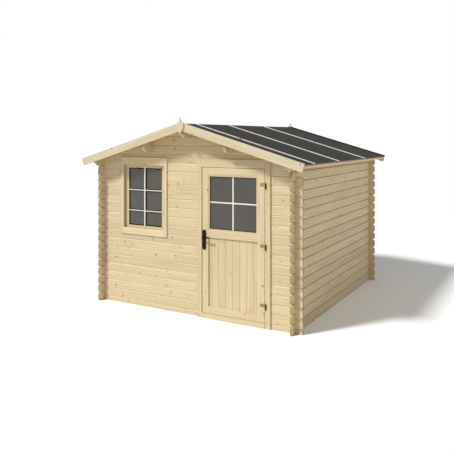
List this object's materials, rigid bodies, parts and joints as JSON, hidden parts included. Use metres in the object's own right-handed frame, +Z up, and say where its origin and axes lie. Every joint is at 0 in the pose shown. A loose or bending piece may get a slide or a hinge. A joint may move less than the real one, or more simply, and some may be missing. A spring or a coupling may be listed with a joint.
{
  "type": "garden shed",
  "caption": "Garden shed of interlocking horizontal boards with a low gabled felt roof, a fixed window and a half-glazed door with a sprung lever handle in its front gable.",
  "frame": {"origin": "on the ground, under the middle of the whole shed's outline", "axes": "+Z up; the gable with the door and the window faces -Y; +X to the right as one faces the door"},
  "size_m": [3.2356, 3.312, 2.4464],
  "materials": {
    "spruce": "planed spruce, untreated",
    "pale_spruce": "sawn spruce battens, untreated",
    "roofing_felt": "bitumen felt with a fine mineral surface",
    "glass": "clear float glass",
    "yellow_zinc": "steel, yellow zinc plated",
    "black_metal": "black lacquered metal"
  },
  "bodies": {
    "shed": {"front_wall_left": "spruce", "front_wall_under_window": "spruce", "front_wall_middle": "spruce", "front_wall_right": "spruce", "front_gable": "spruce", "back_wall": "spruce", "left_wall": "spruce", "right_wall": "spruce", "left_top_board": "spruce", "right_top_board": "spruce", "ridge_purlin": "spruce", "left_purlin": "spruce", "right_purlin": "spruce", "roof_deck_left": "spruce", "roof_deck_right": "spruce", "roof_felt_left": "roofing_felt", "roof_felt_right": "roofing_felt", "roof_battens": "pale_spruce", "eave_strips": "spruce", "front_bargeboard_left": "spruce", "front_bargeboard_right": "spruce", "back_bargeboard_left": "spruce", "back_bargeboard_right": "spruce", "front_finial": "spruce", "back_finial": "spruce", "window_jambs": "spruce", "window_head_and_sill": "spruce", "window_casing_sides": "spruce", "window_casing_rails": "spruce", "sash_stiles": "spruce", "sash_rails": "spruce", "window_glass": "glass", "door_jamb_left": "spruce", "door_jamb_right": "spruce", "door_head": "spruce", "door_sill": "spruce", "door_casing_sides": "spruce", "door_head_trim": "spruce", "hinge_seats": "yellow_zinc"},
    "door": {"door_stiles": "spruce", "door_rails": "spruce", "door_boards": "spruce", "door_glass": "glass", "door_glass_bead": "spruce", "hinge_plates": "yellow_zinc", "handle_plates": "black_metal"},
    "handle": {"door_handle": "black_metal"}
  },
  "joints": [
    {"name": "door_swing", "type": "hinge", "parent": "shed", "child": "door", "pos_m": [1.066, -1.466, 0.95], "axis": [0, 0, 1], "range_deg": [0, 155]},
    {"name": "handle_turn", "type": "hinge", "parent": "door", "child": "handle", "pos_m": [0.229, -1.44, 0.993], "axis": [0, 1, 0], "range_deg": [0, 40], "stiffness_Nm_per_rad": 1.5, "springref_deg": -20.05}
  ]
}
